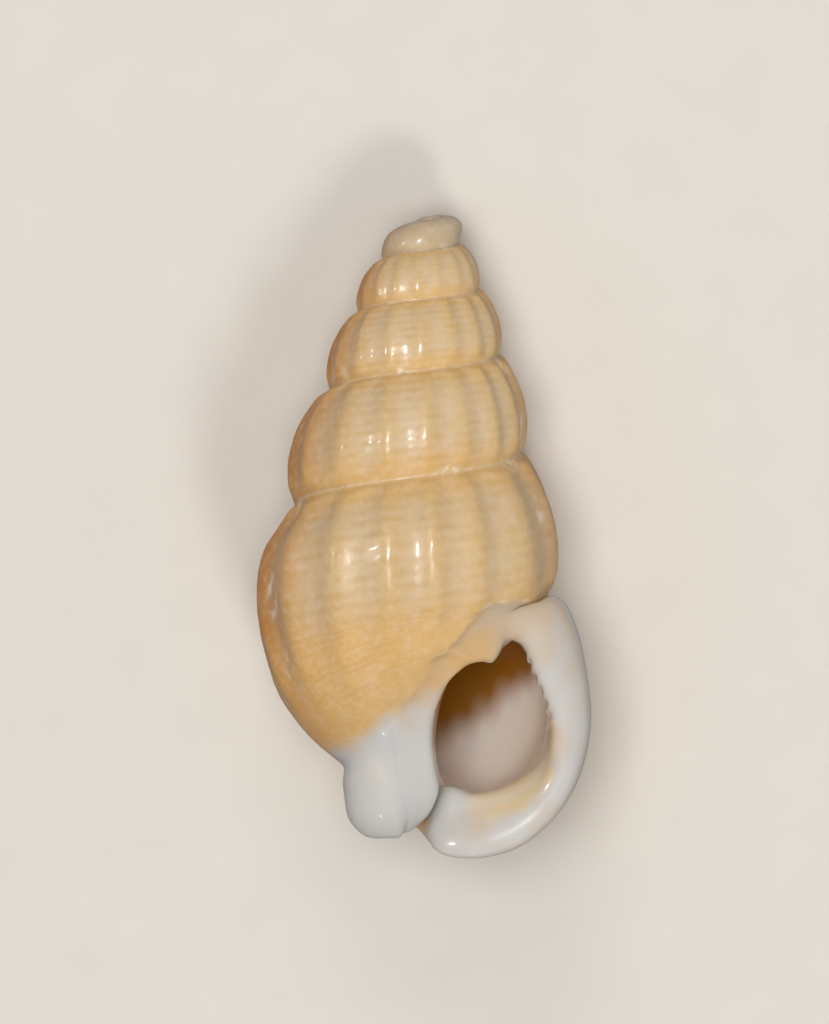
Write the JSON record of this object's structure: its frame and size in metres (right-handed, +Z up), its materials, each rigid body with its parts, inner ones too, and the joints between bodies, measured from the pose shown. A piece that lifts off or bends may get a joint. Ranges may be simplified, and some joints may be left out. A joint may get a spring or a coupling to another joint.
{
  "type": "reticunassa shell",
  "caption": "Small pointed sea-snail shell with rounded ribs on its coiled whorls and a thick pale lip around a real hollow opening, lying on its back.",
  "frame": {"origin": "centre of the bounding box's base, on the surface that the shell's back rests on", "axes": "+Z up, out of the opening; +Y towards the tip; +X towards the outer lip"},
  "size_m": [0.0058, 0.0106, 0.0049],
  "materials": {
    "shell": "glossy"
  },
  "bodies": {
    "root": {"shell": "shell"}
  },
  "joints": []
}
